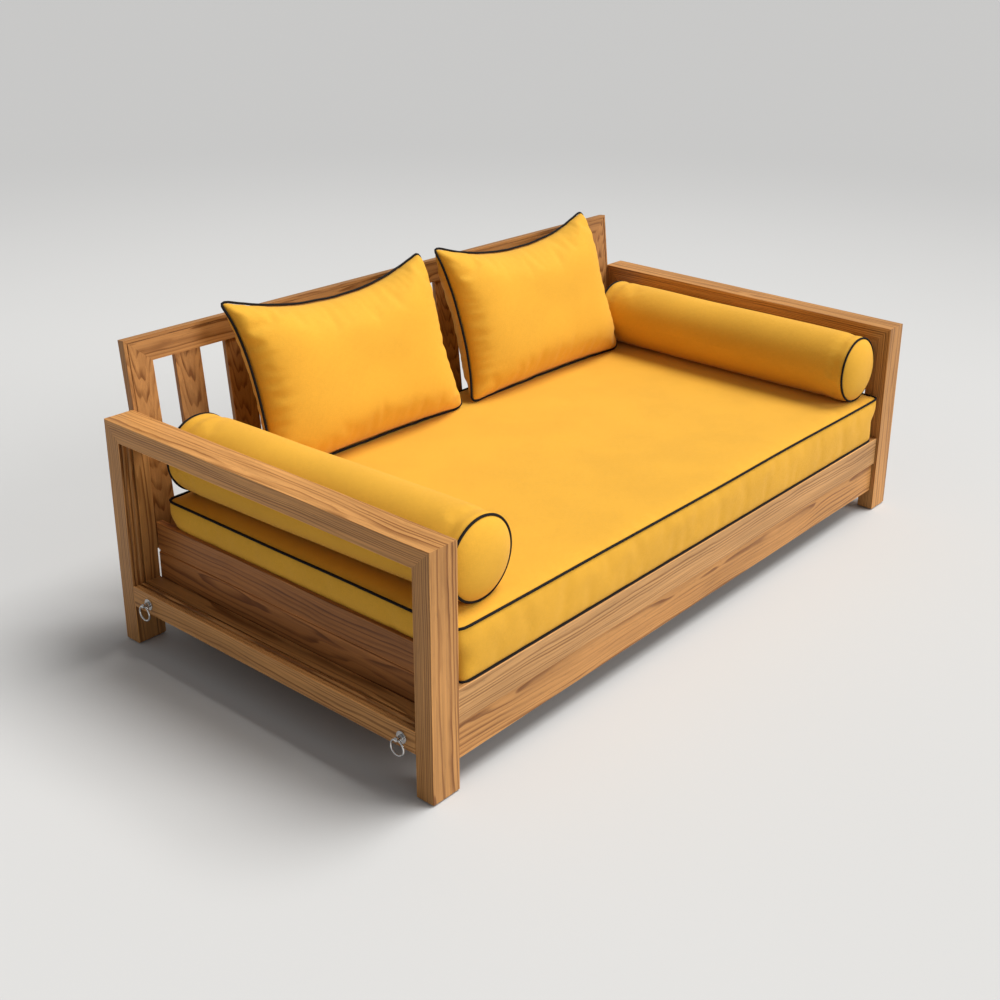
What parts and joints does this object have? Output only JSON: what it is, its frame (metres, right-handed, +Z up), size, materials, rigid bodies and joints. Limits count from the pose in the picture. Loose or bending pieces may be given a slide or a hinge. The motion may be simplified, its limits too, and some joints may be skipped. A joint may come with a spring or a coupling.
{
  "type": "daybed",
  "caption": "Timber daybed with open framed arms, a slatted raked back, ring-pull locking pins, and piped mattress, pillow and bolster cushions.",
  "frame": {"origin": "on the floor, under the middle of the whole object's box", "axes": "+X along the length, from the left arm to the right arm seen from the front; +Y from front to back; +Z up"},
  "size_m": [2.133, 1.1402, 0.8504],
  "materials": {
    "timber": "oiled teak, satin",
    "dowel_wood": "plain hardwood",
    "mustard_fabric": "smooth woven cover",
    "black_piping": "corded piping sewn into the cushions' seams",
    "polished_steel": "polished",
    "fastener_steel": "zinc plated",
    "pad_plastic": "matte"
  },
  "bodies": {
    "frame": {"left_front_leg": "timber", "left_back_leg": "timber", "left_armrest": "timber", "left_lower_rail": "timber", "left_arm_dowels": "dowel_wood", "back_left_stile": "timber", "left_side_board": "timber", "left_end_rail": "timber", "left_front_corner_post": "timber", "left_back_corner_post": "timber", "right_front_leg": "timber", "right_back_leg": "timber", "right_armrest": "timber", "right_lower_rail": "timber", "right_arm_dowels": "dowel_wood", "back_right_stile": "timber", "right_side_board": "timber", "right_end_rail": "timber", "right_front_corner_post": "timber", "right_back_corner_post": "timber", "foot_pads": "pad_plastic", "back_top_rail": "timber", "back_bottom_rail": "timber", "back_bolts": "fastener_steel", "back_slat_1": "timber", "back_slat_2": "timber", "back_slat_3": "timber", "back_slat_4": "timber", "back_slat_5": "timber", "back_slat_6": "timber", "back_slat_7": "timber", "back_slat_8": "timber", "back_slat_9": "timber", "back_slat_10": "timber", "back_slat_11": "timber", "front_apron_upper": "timber", "front_apron_lower": "timber", "back_apron": "timber", "front_ledger": "timber", "back_ledger": "timber", "centre_beam": "timber", "centre_leg": "timber", "seat_slats": "timber", "slat_screws": "fastener_steel", "pin_sleeves": "polished_steel"},
    "left_front_locking_pin": {"left_front_locking_pin": "polished_steel"},
    "left_front_pull_ring": {"left_front_pull_ring": "polished_steel"},
    "left_back_locking_pin": {"left_back_locking_pin": "polished_steel"},
    "left_back_pull_ring": {"left_back_pull_ring": "polished_steel"},
    "right_front_locking_pin": {"right_front_locking_pin": "polished_steel"},
    "right_front_pull_ring": {"right_front_pull_ring": "polished_steel"},
    "right_back_locking_pin": {"right_back_locking_pin": "polished_steel"},
    "right_back_pull_ring": {"right_back_pull_ring": "polished_steel"},
    "mattress": {"mattress": "mustard_fabric"},
    "left_bolster": {"left_bolster": "mustard_fabric"},
    "right_bolster": {"right_bolster": "mustard_fabric"},
    "left_pillow": {"left_pillow": "mustard_fabric"},
    "right_pillow": {"right_pillow": "mustard_fabric"}
  },
  "joints": [
    {"name": "left_front_pin_pull", "type": "slide", "parent": "frame", "child": "left_front_locking_pin", "axis": [-1, 0, 0], "range_m": [0, 0.024]},
    {"name": "left_front_ring_swing", "type": "hinge", "parent": "left_front_locking_pin", "child": "left_front_pull_ring", "pos_m": [-1.06, -0.47808, 0.1395], "axis": [0, 1, 0], "range_deg": [-12, 160]},
    {"name": "left_back_pin_pull", "type": "slide", "parent": "frame", "child": "left_back_locking_pin", "axis": [-1, 0, 0], "range_m": [0, 0.024]},
    {"name": "left_back_ring_swing", "type": "hinge", "parent": "left_back_locking_pin", "child": "left_back_pull_ring", "pos_m": [-1.06, 0.41792, 0.1395], "axis": [0, 1, 0], "range_deg": [-12, 160]},
    {"name": "right_front_pin_pull", "type": "slide", "parent": "frame", "child": "right_front_locking_pin", "axis": [1, 0, 0], "range_m": [0, 0.024]},
    {"name": "right_front_ring_swing", "type": "hinge", "parent": "right_front_locking_pin", "child": "right_front_pull_ring", "pos_m": [1.06, -0.47808, 0.1395], "axis": [0, -1, 0], "range_deg": [-12, 160]},
    {"name": "right_back_pin_pull", "type": "slide", "parent": "frame", "child": "right_back_locking_pin", "axis": [1, 0, 0], "range_m": [0, 0.024]},
    {"name": "right_back_ring_swing", "type": "hinge", "parent": "right_back_locking_pin", "child": "right_back_pull_ring", "pos_m": [1.06, 0.41792, 0.1395], "axis": [0, -1, 0], "range_deg": [-12, 160]},
    {"name": "mattress_lift", "type": "slide", "parent": "frame", "child": "mattress", "axis": [0, 0, 1], "range_m": [0, 0.6]},
    {"name": "left_bolster_lift", "type": "slide", "parent": "mattress", "child": "left_bolster", "axis": [0, 0, 1], "range_m": [0, 0.42]},
    {"name": "right_bolster_lift", "type": "slide", "parent": "mattress", "child": "right_bolster", "axis": [0, 0, 1], "range_m": [0, 0.42]},
    {"name": "left_pillow_lift", "type": "slide", "parent": "mattress", "child": "left_pillow", "axis": [0, 0, 1], "range_m": [0, 0.42]},
    {"name": "right_pillow_lift", "type": "slide", "parent": "mattress", "child": "right_pillow", "axis": [0, 0, 1], "range_m": [0, 0.42]}
  ]
}
